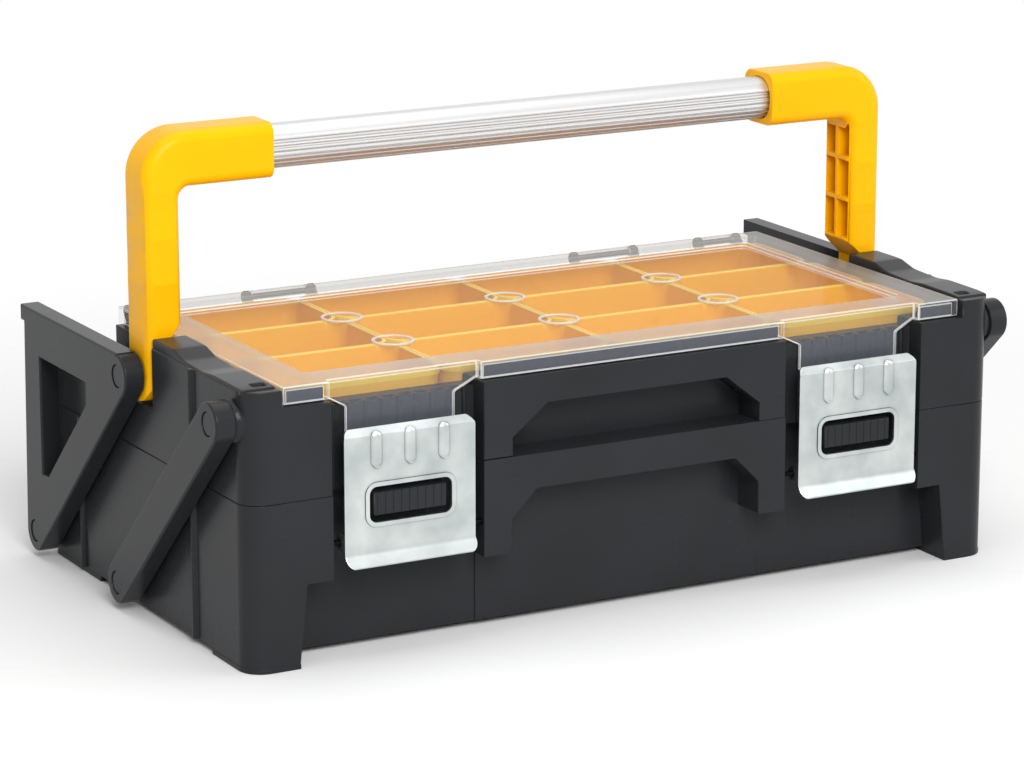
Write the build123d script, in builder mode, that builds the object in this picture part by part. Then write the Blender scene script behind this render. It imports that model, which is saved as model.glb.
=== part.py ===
"""Cantilever organiser toolbox: a base tub and a tray of bins that swings up and back on four arms."""
from build123d import *
import math
import os

# Driving dimensions in millimetres. X runs along the box, +Y to its rear, +Z up from the feet.
# Depths are measured rearwards from the front face of the corner columns.

# Body
BODY_LENGTH = 434.0
BODY_DEPTH = 249.0
BASE_HEIGHT = 84.5
CORNER_RADIUS = 12.0
WALL = 2.5
CLEARANCE = 0.3
RUNNING_FIT = 0.05
SEAT_FIT = 0.02

# Base front: corner columns with feet, and an arched frame between the two latches
FOOT_HEIGHT = 3.0
FRONT_FOOT_LENGTH = 42.0
REAR_FOOT_LENGTH = 68.0
FRONT_SETBACK = 20.0
COLUMN_WIDTH = 46.0
FOOT_WIDTH = 27.5
FOOT_TAPER = 4.5
LEDGE_Z = 42.0
ARCH_LEG = 16.0
ARCH_BAR = 18.0
ARCH_CORNER = 14.0
ARCH_RISE = 6.8
SIDE_RIB_RADIUS = 2.2
FRONT_RIB_DEPTH = 61.0
REAR_RIB_INSET = 47.0

# Swing linkage: four arms, two on each side
ARM_THICKNESS = 10.4
ARM_WIDTH = 22.0
ARM_EDGE = 1.2
PIVOT_RADIUS = 6.0
PIN_RECESS = 0.5
LOWER_PIVOT_Z = 14.8
FRONT_PIVOT_DEPTH = 16.0
REAR_PIVOT_MARGIN = 10.2
TRAY_LIFT = 5.2
ARM_BACK_OVERHANG = 1.8
BOSS_WALL = 2.4
BOSS_LENGTH = 10.0
ARM_TOP_RISE = 11.6
ARM_LIP_HEIGHT = 8.5
ARM_LIP_PROUD = 4.5
WINDOW_BACK_MARGIN = 25.0
WINDOW_TOP_MARGIN = 24.0
WINDOW_FRONT_MARGIN = 30.0
WINDOW_CUT = 7.0

# Upper tray
SHELF_HEIGHT = 24.5
TRAY_HEIGHT = 47.0
RAIL_DROP = 0.7
POST_LENGTH = 24.0
POST_RISE = 4.0
LATCH_BAY_DEPTH = 11.0
BAY_TOP_DROP = 4.0
BAY_RIB_RADIUS = 1.2
BAY_RIB_PITCH = 9.0
FINGER_SIDE = 10.0
FINGER_TOP_BAR = 14.5
FINGER_CORNER = 20.0

# Bins
BIN_COLUMNS = 4
BIN_ROWS = ("front", "middle", "rear")
BIN_WALL = 1.6
BIN_RADIUS = 9.0
BIN_DRAFT = 2.0
BIN_RIM = 4.0
BIN_GAP = 0.4
BIN_TOP_GAP = 1.2

# Lid
LID_SIDE_GAP = 1.5
LID_FRONT_DEPTH = 2.8
REAR_SHELF_DEPTH = 49.5
LID_SKIN = 2.0
LID_BORDER = 22.0
LID_RECESS = 2.2
LID_SKIRT = 9.0
LID_SKIRT_GAP = 0.7
WINDOW_CORNER = 4.0
TONGUE_WIDTH = 60.0
TONGUE_LENGTH = 19.2
TONGUE_DEPTH = 7.0
TONGUE_SHOULDER = 5.7
HINGE_OFFSET = 7.5
HINGE_DROP = 5.2
HINGE_PIN_RADIUS = 1.5
HINGE_BARREL_RADIUS = 3.4
HINGE_EAR = 4.0
WIDE_HINGE_WIDTH = 34.0
NARROW_HINGE_WIDTH = 21.0
NARROW_HINGE_INSET = 21.7
HINGE_SPACING = 74.0

# Latches
LATCH_WIDTH = 72.0
LATCH_OUTER_GAP = 4.6
LATCH_INNER_GAP = 6.4
LATCH_TAIL = 11.5
HOOK_LAP = 3.0
LATCH_PLATE = 1.2
LATCH_PROUD = 3.0
LIP_PROUD = 4.0
LIP_HEIGHT = 6.0
HOOK_DEPTH = 3.0
HOOK_HEIGHT = 3.0
LATCH_CORNER = 5.0
LATCH_WINDOW_WIDTH = 45.0
LATCH_WINDOW_HEIGHT = 18.0
LATCH_WINDOW_CORNER = 4.0
DARTS = 3
DART_PITCH = 18.5
DART_LENGTH = 17.0
DART_WIDTH = 5.0
DART_PROUD = 0.8
LATCH_PIN_RADIUS = 1.5
LATCH_PIN_DROP = 24.5
LATCH_PIN_DEPTH = 3.0
LATCH_EAR_RADIUS = 4.2
LUG_SIDE_GAP = 2.5
LUG_TOP_GAP = 3.2
LUG_RIM_GAP = 0.4

# Carrying handle
TUBE_HEIGHT = 22.5
TUBE_DEPTH = 22.0
TUBE_FLAT = 2.0
TUBE_WALL = 1.8
HANDLE_RISE = 120.4
TUBE_SEAT = 42.0
TUBE_FIT = 0.1
FLUTES = 5
FLUTE_RADIUS = 0.9
FLUTE_PITCH = 2.6
SLEEVE_LENGTH = 51.1
SLEEVE_WALL = 3.0
LEG_WIDTH = 20.0
LEG_OUTSIDE_GAP = 1.1
LEG_INSIDE_GAP = 1.2
LEG_SHELF_GAP = 1.4
LEG_CORNER = 24.0
LEG_EDGE = 6.0
LEG_SKIN = 3.0
PIVOT_FOOT = 8.0
LEG_SHOULDER_GAP = 15.1
LEG_CELL_ROWS = 3
LEG_CELL_RIB = 2.4

# Places worked out from the sizes above
HALF_LENGTH = BODY_LENGTH / 2
FRONT_Y = (LATCH_PROUD + LIP_PROUD - BODY_DEPTH - ARM_BACK_OVERHANG) / 2
REAR_Y = FRONT_Y + BODY_DEPTH
SETBACK_Y = FRONT_Y + FRONT_SETBACK
BAY_Y = FRONT_Y + LATCH_BAY_DEPTH
# The latches stand beside the corner columns, and the arched frame fills the room between them
COLUMN_INNER = HALF_LENGTH - COLUMN_WIDTH
LATCH_CENTRE = COLUMN_INNER - LATCH_OUTER_GAP - LATCH_WIDTH / 2
ARCH_HALF = LATCH_CENTRE - LATCH_WIDTH / 2 - LATCH_INNER_GAP
ARCH_TOP_Z = BASE_HEIGHT + ARCH_RISE
ARM_INSIDE = HALF_LENGTH + SIDE_RIB_RADIUS + CLEARANCE
ARM_OUTSIDE = ARM_INSIDE + ARM_THICKNESS
LEG_DEPTH = TUBE_DEPTH + 2 * SLEEVE_WALL
LEG_OUTSIDE = ARM_INSIDE - LEG_OUTSIDE_GAP
LEG_INSIDE = LEG_OUTSIDE - LEG_WIDTH
PIVOT_FOOT_INSIDE = LEG_OUTSIDE - PIVOT_FOOT
SLEEVE_END = LEG_INSIDE - SLEEVE_LENGTH
# The handle's feet turn just above the shelf, on the rear arms' upper pivots
SHELF_Z = BASE_HEIGHT + SHELF_HEIGHT
UPPER_PIVOT_Z = SHELF_Z + LEG_SHELF_GAP + LEG_DEPTH / 2
# The arms reach back a little further than they rise, so the tray ends its swing above the base's rim
ARM_RISE = UPPER_PIVOT_Z - LOWER_PIVOT_Z
ARM_REACH = ARM_RISE + TRAY_LIFT
PIVOT_SPACING = BODY_DEPTH - FRONT_PIVOT_DEPTH - ARM_REACH - REAR_PIVOT_MARGIN
BOSS_RADIUS = PIVOT_RADIUS + BOSS_WALL
PIN_END = ARM_OUTSIDE - PIN_RECESS
FRONT_UPPER = (FRONT_Y + FRONT_PIVOT_DEPTH, UPPER_PIVOT_Z)
REAR_UPPER = (FRONT_UPPER[0] + PIVOT_SPACING, UPPER_PIVOT_Z)
FRONT_LOWER = (FRONT_UPPER[0] + ARM_REACH, LOWER_PIVOT_Z)
REAR_LOWER = (REAR_UPPER[0] + ARM_REACH, LOWER_PIVOT_Z)
ARM_TOP_Z = UPPER_PIVOT_Z + ARM_TOP_RISE
TRAY_WALL_TOP_Z = BASE_HEIGHT + TRAY_HEIGHT
TRAY_UPPER_HALF = LEG_INSIDE - LEG_INSIDE_GAP
LATCH_BAY_TOP_Z = TRAY_WALL_TOP_Z - BAY_TOP_DROP
LID_SKIRT_Z = TRAY_WALL_TOP_Z + LID_SKIRT_GAP
LID_TOP_Z = LID_SKIRT_Z + LID_SKIRT
RAIL_TOP_Z = LID_TOP_Z - RAIL_DROP
RAIL_REAR_Y = REAR_UPPER[0] - LEG_DEPTH / 2 - CLEARANCE
LID_HALF = TRAY_UPPER_HALF - LID_SIDE_GAP
LID_FRONT_Y = FRONT_Y + LID_FRONT_DEPTH
LID_REAR_Y = REAR_Y - REAR_SHELF_DEPTH
TONGUE_Y = FRONT_Y + TONGUE_DEPTH
TONGUE_TIP_Z = LID_SKIRT_Z - TONGUE_LENGTH
TONGUE_SHOULDER_Z = LID_SKIRT_Z - TONGUE_SHOULDER
WELL_HALF = LID_HALF - LID_SKIN - CLEARANCE
WELL_FRONT_Y = SETBACK_Y + WALL
WELL_REAR_Y = LID_REAR_Y - LID_SKIN - CLEARANCE
WELL_FLOOR_Z = BASE_HEIGHT + WALL
TRAY_UPPER_REAR_Y = WELL_REAR_Y + WALL
HINGE_Z = LID_TOP_Z - HINGE_DROP
HINGE = (LID_REAR_Y + HINGE_OFFSET, HINGE_Z)
NARROW_HINGE_X = LID_HALF - NARROW_HINGE_INSET
WIDE_HINGE_X = NARROW_HINGE_X - HINGE_SPACING
HINGES = [
    (-NARROW_HINGE_X, NARROW_HINGE_WIDTH), (-WIDE_HINGE_X, WIDE_HINGE_WIDTH),
    (WIDE_HINGE_X, WIDE_HINGE_WIDTH), (NARROW_HINGE_X, NARROW_HINGE_WIDTH),
]
LATCH_FACE_Y = FRONT_Y - LATCH_PROUD
LATCH_PIN_Z = BASE_HEIGHT - LATCH_PIN_DROP
LATCH_PIN = (FRONT_Y + LATCH_PIN_DEPTH, LATCH_PIN_Z)
LATCH_BOTTOM_Z = LATCH_PIN_Z - LATCH_TAIL
LATCH_TOP_Z = TONGUE_TIP_Z + HOOK_LAP
# The lug in each latch window reaches almost to the base's rim
LATCH_WINDOW_Z = BASE_HEIGHT - LUG_RIM_GAP - LATCH_WINDOW_HEIGHT / 2 + LUG_TOP_GAP
TUBE_TOP_Z = UPPER_PIVOT_Z + HANDLE_RISE
TUBE_Z = TUBE_TOP_Z - TUBE_HEIGHT / 2
TUBE_ROUND = (min(TUBE_DEPTH, TUBE_HEIGHT) - TUBE_FLAT) / 2
SIDES = (-1, 1)


def block(x_range, y_range, z_range, mode=Mode.ADD):
    """A box between two corners, added to the piece being built."""
    ranges = (x_range, y_range, z_range)
    with Locations(tuple((low + high) / 2 for low, high in ranges)):
        Box(*(high - low for low, high in ranges), mode=mode)


def side_block(side, x_range, y_range, z_range, mode=Mode.ADD):
    """A box on the left or right, with its X distances measured outwards from the middle."""
    block(sorted(side * x for x in x_range), y_range, z_range, mode)


def front_slab(outline, y_front, y_rear, grow=0.0, mode=Mode.ADD):
    """An outline seen from the front, grown or drawn in, and run back from one Y to another."""
    with BuildSketch(Plane.XZ.offset(-y_rear)) as slab:
        with BuildLine():
            Polyline(*outline, close=True)
        make_face()
        if grow:
            offset(amount=grow, kind=Kind.INTERSECTION, mode=Mode.REPLACE)
    extrude(slab.sketch, amount=y_rear - y_front, mode=mode)


def side_disc(side, centre, radius, x):
    """A round profile that faces along X, at a distance outwards from the middle."""
    with BuildSketch(Plane.YZ.offset(side * x)) as disc:
        with Locations(centre):
            Circle(radius)
    return disc.sketch


def side_rod(side, centre, radius, x_range, mode=Mode.ADD):
    """A rod along X on the left or right, from one distance outwards to another."""
    extrude(side_disc(side, centre, radius, x_range[0]), amount=side * (x_range[1] - x_range[0]), mode=mode)


def upright_rib(x, y, radius, z_range):
    """A round upright rib, half sunk in the wall it stands on."""
    with BuildSketch(Plane.XY.offset(z_range[0])) as rib:
        with Locations((x, y)):
            Circle(radius)
    extrude(rib.sketch, amount=z_range[1] - z_range[0])


def round_plan(inset, z_range):
    """Trim the piece being built to the body's rounded plan, drawn in by the inset."""
    with BuildSketch(Plane.XY.offset(z_range[0])) as plan:
        with Locations((0, (FRONT_Y + REAR_Y) / 2)):
            RectangleRounded(BODY_LENGTH - 2 * inset, BODY_DEPTH - 2 * inset, CORNER_RADIUS - inset)
    extrude(plan.sketch, amount=z_range[1] - z_range[0], mode=Mode.INTERSECT)


def column_outline(side, top):
    """Front view of a base corner column with its tapered foot."""
    foot_inner = HALF_LENGTH - FOOT_WIDTH
    points = [
        (foot_inner, 0), (HALF_LENGTH, 0), (HALF_LENGTH, top), (COLUMN_INNER, top),
        (COLUMN_INNER, LEDGE_Z), (foot_inner - FOOT_TAPER, LEDGE_Z),
    ]
    return [(side * x, z) for x, z in points]


def arch_outline(top):
    """Front view of the arched frame between the latches, with its chamfered opening."""
    leg = ARCH_HALF - ARCH_LEG
    bar = ARCH_TOP_Z - ARCH_BAR
    return [
        (-ARCH_HALF, LEDGE_Z), (-ARCH_HALF, top), (ARCH_HALF, top), (ARCH_HALF, LEDGE_Z),
        (leg, LEDGE_Z), (leg, bar - ARCH_CORNER), (leg - ARCH_CORNER, bar),
        (ARCH_CORNER - leg, bar), (-leg, bar - ARCH_CORNER), (-leg, LEDGE_Z),
    ]


def latch_lugs(inset):
    """The two lugs that fill the latch windows, or with an inset the hollows in them."""
    half_width = LATCH_WINDOW_WIDTH / 2 - LUG_SIDE_GAP - inset
    half_height = LATCH_WINDOW_HEIGHT / 2 - LUG_TOP_GAP - inset
    for side in SIDES:
        side_block(
            side, (LATCH_CENTRE - half_width, LATCH_CENTRE + half_width),
            (LATCH_FACE_Y + CLEARANCE + inset, SETBACK_Y + 2 * inset),
            (LATCH_WINDOW_Z - half_height, LATCH_WINDOW_Z + half_height),
        )


# Outside of the base
with BuildPart() as base_outside:
    block((-HALF_LENGTH, HALF_LENGTH), (SETBACK_Y, REAR_Y), (FOOT_HEIGHT, BASE_HEIGHT))
    for side in SIDES:
        front_slab(column_outline(side, BASE_HEIGHT), FRONT_Y, FRONT_Y + FRONT_FOOT_LENGTH)
        side_block(
            side, (HALF_LENGTH - FOOT_WIDTH, HALF_LENGTH), (REAR_Y - REAR_FOOT_LENGTH, REAR_Y),
            (0, FOOT_HEIGHT),
        )
    front_slab(arch_outline(BASE_HEIGHT), FRONT_Y, SETBACK_Y)
    front_slab(arch_outline(ARCH_TOP_Z), FRONT_Y, SETBACK_Y - CLEARANCE)
    round_plan(0, (0, ARCH_TOP_Z))
    latch_lugs(0)

# Space inside the base's walls, open at the top
with BuildPart() as base_inside:
    block(
        (WALL - HALF_LENGTH, HALF_LENGTH - WALL), (SETBACK_Y + WALL, REAR_Y - WALL),
        (FOOT_HEIGHT + WALL, BASE_HEIGHT + WALL),
    )
    for side in SIDES:
        front_slab(
            column_outline(side, BASE_HEIGHT + 2 * WALL), FRONT_Y + WALL,
            FRONT_Y + FRONT_FOOT_LENGTH - WALL, -WALL,
        )
    front_slab(arch_outline(BASE_HEIGHT), FRONT_Y + WALL, SETBACK_Y + 2 * WALL, -WALL)
    round_plan(WALL, (0, BASE_HEIGHT + WALL))
    latch_lugs(WALL)

# Base tub, one black moulding with hollow columns, arm bosses and holes for the latch pins
with BuildPart() as base_tub:
    add(base_outside.part)
    add(base_inside.part, mode=Mode.SUBTRACT)
    boss_span = (HALF_LENGTH - BOSS_LENGTH, ARM_INSIDE - CLEARANCE)
    for side in SIDES:
        for rib_y in (FRONT_Y + FRONT_RIB_DEPTH, REAR_Y - REAR_RIB_INSET):
            upright_rib(side * HALF_LENGTH, rib_y, SIDE_RIB_RADIUS, (FOOT_HEIGHT, BASE_HEIGHT))
        for pivot in (FRONT_LOWER, REAR_LOWER):
            side_rod(side, pivot, BOSS_RADIUS, boss_span)
            side_rod(side, pivot, PIVOT_RADIUS + SEAT_FIT, boss_span, Mode.SUBTRACT)
        pin_hole = (ARCH_HALF - WALL, COLUMN_INNER + WALL)
        side_rod(side, LATCH_PIN, LATCH_PIN_RADIUS + SEAT_FIT, pin_hole, Mode.SUBTRACT)
base_tub.part.label = "base_tub"

# Pivot pins of the arms, plain pegs whose flat heads lie just below the arms' outer faces
with BuildPart() as lower_pivot_pins:
    for side in SIDES:
        for pivot in (FRONT_LOWER, REAR_LOWER):
            side_rod(side, pivot, PIVOT_RADIUS, (HALF_LENGTH - BOSS_LENGTH, PIN_END))
lower_pivot_pins.part.label = "lower_pivot_pins"

FRONT_SEAT_X = HALF_LENGTH - BOSS_LENGTH
REAR_SEAT_X = TRAY_UPPER_HALF + WALL
with BuildPart() as upper_front_pins:
    for side in SIDES:
        side_rod(side, FRONT_UPPER, PIVOT_RADIUS, (FRONT_SEAT_X, PIN_END))
upper_front_pins.part.label = "upper_front_pins"

with BuildPart() as upper_rear_pins:
    for side in SIDES:
        side_rod(side, REAR_UPPER, PIVOT_RADIUS, (REAR_SEAT_X, PIN_END))
upper_rear_pins.part.label = "upper_rear_pins"

# Latch pins, a steel wire across each bay from the column to the arched frame
with BuildPart() as latch_pins:
    for side in SIDES:
        side_rod(side, LATCH_PIN, LATCH_PIN_RADIUS, (ARCH_HALF - WALL, COLUMN_INNER + WALL))
latch_pins.part.label = "latch_pins"


def finger_outline():
    """Front view of the finger recess that the tray is lifted by, open at the bottom."""
    half = ARCH_HALF - ARCH_LEG
    top = TRAY_WALL_TOP_Z - FINGER_TOP_BAR
    low = ARCH_TOP_Z + FINGER_SIDE
    return [
        (-half, BASE_HEIGHT), (-half, low), (FINGER_CORNER - half, top),
        (half - FINGER_CORNER, top), (half, low), (half, BASE_HEIGHT),
    ]


def tray_blocks(inset):
    """The blocks that make up the tray, or with an inset the hollows in them, open at the bottom."""
    bottom = BASE_HEIGHT - 2 * inset
    rear_of_front = SETBACK_Y + inset
    wall_top = TRAY_WALL_TOP_Z - inset
    shelf_half = HALF_LENGTH - inset
    upper_half = TRAY_UPPER_HALF - inset
    frame_half = ARCH_HALF - inset
    block((-shelf_half, shelf_half), (rear_of_front, REAR_Y - inset), (bottom, SHELF_Z - inset))
    block((-upper_half, upper_half), (rear_of_front, TRAY_UPPER_REAR_Y - inset), (bottom, wall_top))
    block((-frame_half, frame_half), (FRONT_Y + inset, rear_of_front), (bottom, wall_top))
    for side in SIDES:
        column = (COLUMN_INNER + inset, HALF_LENGTH - inset)
        side_block(side, column, (FRONT_Y + inset, rear_of_front), (bottom, wall_top))
        rail = (TRAY_UPPER_HALF + inset, HALF_LENGTH - inset)
        side_block(side, rail, (FRONT_Y + inset, RAIL_REAR_Y - inset), (bottom, RAIL_TOP_Z - inset))
        bay = (ARCH_HALF - inset, COLUMN_INNER + inset)
        side_block(side, bay, (BAY_Y + inset, rear_of_front), (bottom, LATCH_BAY_TOP_Z - inset))
    round_plan(inset, (bottom, RAIL_TOP_Z))


# Hollows under the tray, everywhere but the well that the bins stand in and the finger recess
with BuildPart() as tray_hollows:
    tray_blocks(WALL)
    block(
        (-WELL_HALF - WALL, WELL_HALF + WALL), (WELL_FRONT_Y - WALL, WELL_REAR_Y + WALL),
        (0, LID_TOP_Z), Mode.SUBTRACT,
    )
    front_slab(finger_outline(), FRONT_Y, SETBACK_Y + WALL, WALL, Mode.SUBTRACT)

# Upper tray, one black moulding: bin well, side rails, latch bays, finger recess and rear shelf
with BuildPart() as upper_tray:
    tray_blocks(0)
    add(tray_hollows.part, mode=Mode.SUBTRACT)
    block((-WELL_HALF, WELL_HALF), (WELL_FRONT_Y, WELL_REAR_Y), (WELL_FLOOR_Z, LID_TOP_Z), Mode.SUBTRACT)
    front_slab(finger_outline(), FRONT_Y, SETBACK_Y, 0, Mode.SUBTRACT)
    block(
        (-ARCH_HALF - CLEARANCE, ARCH_HALF + CLEARANCE), (FRONT_Y, SETBACK_Y),
        (BASE_HEIGHT, ARCH_TOP_Z + CLEARANCE), Mode.SUBTRACT,
    )
    for side in SIDES:
        post = (TRAY_UPPER_HALF + WALL, HALF_LENGTH - WALL)
        side_block(
            side, post, (RAIL_REAR_Y - POST_LENGTH, RAIL_REAR_Y), (RAIL_TOP_Z - WALL, RAIL_TOP_Z + POST_RISE)
        )
        upright_rib(side * HALF_LENGTH, FRONT_Y + FRONT_RIB_DEPTH, SIDE_RIB_RADIUS, (BASE_HEIGHT, RAIL_TOP_Z))
        # A tapered boss on the front corner, and a plain one on the upper side wall
        loft([
            side_disc(side, FRONT_UPPER, BOSS_RADIUS + WALL, HALF_LENGTH - WALL).face(),
            side_disc(side, FRONT_UPPER, BOSS_RADIUS + WALL / 2, ARM_INSIDE - CLEARANCE).face(),
        ])
        front_seat = (FRONT_SEAT_X, ARM_INSIDE - CLEARANCE)
        side_rod(side, FRONT_UPPER, BOSS_RADIUS, front_seat)
        side_rod(side, FRONT_UPPER, PIVOT_RADIUS + SEAT_FIT, front_seat, Mode.SUBTRACT)
        rear_boss_end = PIVOT_FOOT_INSIDE - CLEARANCE
        side_rod(side, REAR_UPPER, BOSS_RADIUS, (TRAY_UPPER_HALF - WALL / 2, rear_boss_end))
        side_rod(side, REAR_UPPER, PIVOT_RADIUS + SEAT_FIT, (REAR_SEAT_X, rear_boss_end), Mode.SUBTRACT)
        # The well's front wall is cut down behind the latch bay, where the bins show over the bay's wall
        side_block(
            side, (ARCH_HALF, COLUMN_INNER), (WELL_FRONT_Y - WALL, WELL_FRONT_Y),
            (LATCH_BAY_TOP_Z, LID_TOP_Z), Mode.SUBTRACT,
        )
        # Upright ribs on the latch bay's front wall
        bay_ribs = int((COLUMN_INNER - ARCH_HALF) / BAY_RIB_PITCH)
        for rib in range(bay_ribs):
            rib_x = (COLUMN_INNER + ARCH_HALF) / 2 + (rib - (bay_ribs - 1) / 2) * BAY_RIB_PITCH
            upright_rib(side * rib_x, BAY_Y, BAY_RIB_RADIUS, (BASE_HEIGHT, LATCH_BAY_TOP_Z))
    # A rim inside the lid's front skirt, left open at the latch bays
    rim_y = (LID_FRONT_Y + LID_SKIN + CLEARANCE, LID_FRONT_Y + LID_SKIN + CLEARANCE + WALL)
    rim_z = (TRAY_WALL_TOP_Z - WALL, LID_TOP_Z - LID_SKIN - CLEARANCE)
    block((LID_SKIN - ARCH_HALF, ARCH_HALF - LID_SKIN), rim_y, rim_z)
    for side in SIDES:
        side_block(side, (COLUMN_INNER + LID_SKIN, WELL_HALF), rim_y, rim_z)
    # Ears that carry the lid's hinge pins
    for hinge_x, hinge_width in HINGES:
        for end in SIDES:
            ear_x = hinge_x + end * (hinge_width + HINGE_EAR) / 2 - HINGE_EAR / 2
            with BuildSketch(Plane.YZ.offset(ear_x)) as ear:
                with BuildLine():
                    Polyline(
                        (TRAY_UPPER_REAR_Y - WALL / 2, HINGE_Z - 5 * HINGE_BARREL_RADIUS),
                        (TRAY_UPPER_REAR_Y - WALL / 2, TRAY_WALL_TOP_Z - WALL),
                        (HINGE[0] - HINGE_BARREL_RADIUS, HINGE_Z),
                        (HINGE[0] + HINGE_BARREL_RADIUS, HINGE_Z),
                        close=True,
                    )
                make_face()
                with Locations(HINGE):
                    Circle(HINGE_BARREL_RADIUS)
            extrude(ear.sketch, amount=HINGE_EAR)
        half_span = hinge_width / 2 + HINGE_EAR
        side_rod(
            1, HINGE, HINGE_PIN_RADIUS + SEAT_FIT, (hinge_x - half_span, hinge_x + half_span), Mode.SUBTRACT
        )
upper_tray.part.label = "upper_tray"

# Lid hinge pins, plain steel wire pushed through the tray's ears
with BuildPart() as lid_hinge_pins:
    for hinge_x, hinge_width in HINGES:
        half_span = hinge_width / 2 + HINGE_EAR
        side_rod(1, HINGE, HINGE_PIN_RADIUS, (hinge_x - half_span, hinge_x + half_span))
lid_hinge_pins.part.label = "lid_hinge_pins"

# Bins, open yellow cups with drafted walls and an upright rim band
BIN_TOP_Z = LID_TOP_Z - LID_RECESS - LID_SKIN - BIN_TOP_GAP
BIN_HEIGHT = BIN_TOP_Z - WELL_FLOOR_Z
BIN_PITCH_X = 2 * (WELL_HALF - CLEARANCE) / BIN_COLUMNS
BIN_PITCH_Y = (WELL_REAR_Y - WELL_FRONT_Y - 2 * CLEARANCE) / len(BIN_ROWS)
BIN_SIZE_X = BIN_PITCH_X - BIN_GAP
BIN_SIZE_Y = BIN_PITCH_Y - BIN_GAP
BIN_DRAW_IN = 2 * BIN_HEIGHT * math.tan(math.radians(BIN_DRAFT))
bins = []
for row, row_name in enumerate(BIN_ROWS):
    for column in range(BIN_COLUMNS):
        bin_x = (column - (BIN_COLUMNS - 1) / 2) * BIN_PITCH_X
        bin_y = (WELL_FRONT_Y + WELL_REAR_Y) / 2 + (row - (len(BIN_ROWS) - 1) / 2) * BIN_PITCH_Y
        with BuildPart() as bin_cup:
            for inset, mode in ((0, Mode.ADD), (BIN_WALL, Mode.SUBTRACT)):
                with BuildSketch(Plane.XY.offset(WELL_FLOOR_Z + inset)):
                    with Locations((bin_x, bin_y)):
                        RectangleRounded(
                            BIN_SIZE_X - BIN_DRAW_IN - 2 * inset, BIN_SIZE_Y - BIN_DRAW_IN - 2 * inset,
                            BIN_RADIUS - inset,
                        )
                extrude(amount=BIN_HEIGHT - inset, taper=-BIN_DRAFT, mode=mode)
            with BuildSketch(Plane.XY.offset(BIN_TOP_Z - BIN_RIM)):
                with Locations((bin_x, bin_y)):
                    RectangleRounded(BIN_SIZE_X, BIN_SIZE_Y, BIN_RADIUS)
                    RectangleRounded(
                        BIN_SIZE_X - 2 * BIN_WALL, BIN_SIZE_Y - 2 * BIN_WALL, BIN_RADIUS - BIN_WALL,
                        mode=Mode.SUBTRACT,
                    )
            extrude(amount=BIN_RIM)
        bin_cup.part.label = f"bin_{row_name}_{column + 1}"
        bins.append(bin_cup)


def tongue_outline(side):
    """Front view of a lid tongue, wide under the lid's edge and drawn in by its shoulders."""
    low = LATCH_CENTRE - TONGUE_WIDTH / 2
    high = LATCH_CENTRE + TONGUE_WIDTH / 2
    wide_low = ARCH_HALF + CLEARANCE
    wide_high = COLUMN_INNER - CLEARANCE
    points = [
        (wide_low, LID_TOP_Z), (wide_low, LID_SKIRT_Z), (low, TONGUE_SHOULDER_Z), (low, TONGUE_TIP_Z),
        (high, TONGUE_TIP_Z), (high, TONGUE_SHOULDER_Z), (wide_high, LID_SKIRT_Z), (wide_high, LID_TOP_Z),
    ]
    return [(side * x, z) for x, z in points]


# Lid, one clear moulding: raised border, sunk window, skirts and the two tongues behind the latches
with BuildPart() as lid:
    block((-LID_HALF, LID_HALF), (LID_FRONT_Y, LID_REAR_Y), (LID_SKIRT_Z, LID_TOP_Z))
    block(
        (LID_SKIN - LID_HALF, LID_HALF - LID_SKIN), (LID_FRONT_Y + LID_SKIN, LID_REAR_Y - LID_SKIN),
        (LID_SKIRT_Z, LID_TOP_Z - LID_SKIN), Mode.SUBTRACT,
    )
    for side in SIDES:
        bay = (ARCH_HALF + CLEARANCE, COLUMN_INNER - CLEARANCE)
        side_block(side, bay, (LID_FRONT_Y, TONGUE_Y), (LID_SKIRT_Z, LID_TOP_Z), Mode.SUBTRACT)
        front_slab(tongue_outline(side), TONGUE_Y, TONGUE_Y + LID_SKIN)
        # The skirt turns back on both sides of the bay and joins the tongue
        for bay_end in ((bay[0] - LID_SKIN, bay[0]), (bay[1], bay[1] + LID_SKIN)):
            side_block(side, bay_end, (LID_FRONT_Y, TONGUE_Y + LID_SKIN), (LID_SKIRT_Z, LID_TOP_Z))
    for grow, drop, mode in ((LID_SKIN, LID_RECESS + LID_SKIN, Mode.ADD), (0, LID_RECESS, Mode.SUBTRACT)):
        with BuildSketch(Plane.XY.offset(LID_TOP_Z)):
            with Locations((0, (LID_FRONT_Y + LID_REAR_Y) / 2)):
                RectangleRounded(
                    2 * (LID_HALF - LID_BORDER + grow), LID_REAR_Y - LID_FRONT_Y - 2 * (LID_BORDER - grow),
                    WINDOW_CORNER + grow,
                )
        extrude(amount=-drop, mode=mode)
    for hinge_x, hinge_width in HINGES:
        knuckle = (hinge_x - hinge_width / 2 + CLEARANCE, hinge_x + hinge_width / 2 - CLEARANCE)
        block(
            knuckle, (LID_REAR_Y - LID_SKIN, HINGE[0]),
            (HINGE_Z - HINGE_BARREL_RADIUS, HINGE_Z + HINGE_BARREL_RADIUS),
        )
        side_rod(1, HINGE, HINGE_BARREL_RADIUS, knuckle)
        side_rod(1, HINGE, HINGE_PIN_RADIUS + RUNNING_FIT, knuckle, Mode.SUBTRACT)
lid.part.label = "lid"


def bar_outline(upper, lower):
    """A straight arm seen from the side: two round ends and the bar between them."""
    length = math.dist(upper, lower)
    slope = math.degrees(math.atan2(lower[1] - upper[1], lower[0] - upper[0]))
    middle = ((upper[0] + lower[0]) / 2, (upper[1] + lower[1]) / 2)
    with BuildSketch(Plane.YZ.offset(ARM_INSIDE)) as outline:
        with Locations(upper, lower):
            Circle(ARM_WIDTH / 2)
        with Locations(middle):
            Rectangle(length, ARM_WIDTH, rotation=slope)
    return outline.sketch


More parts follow.
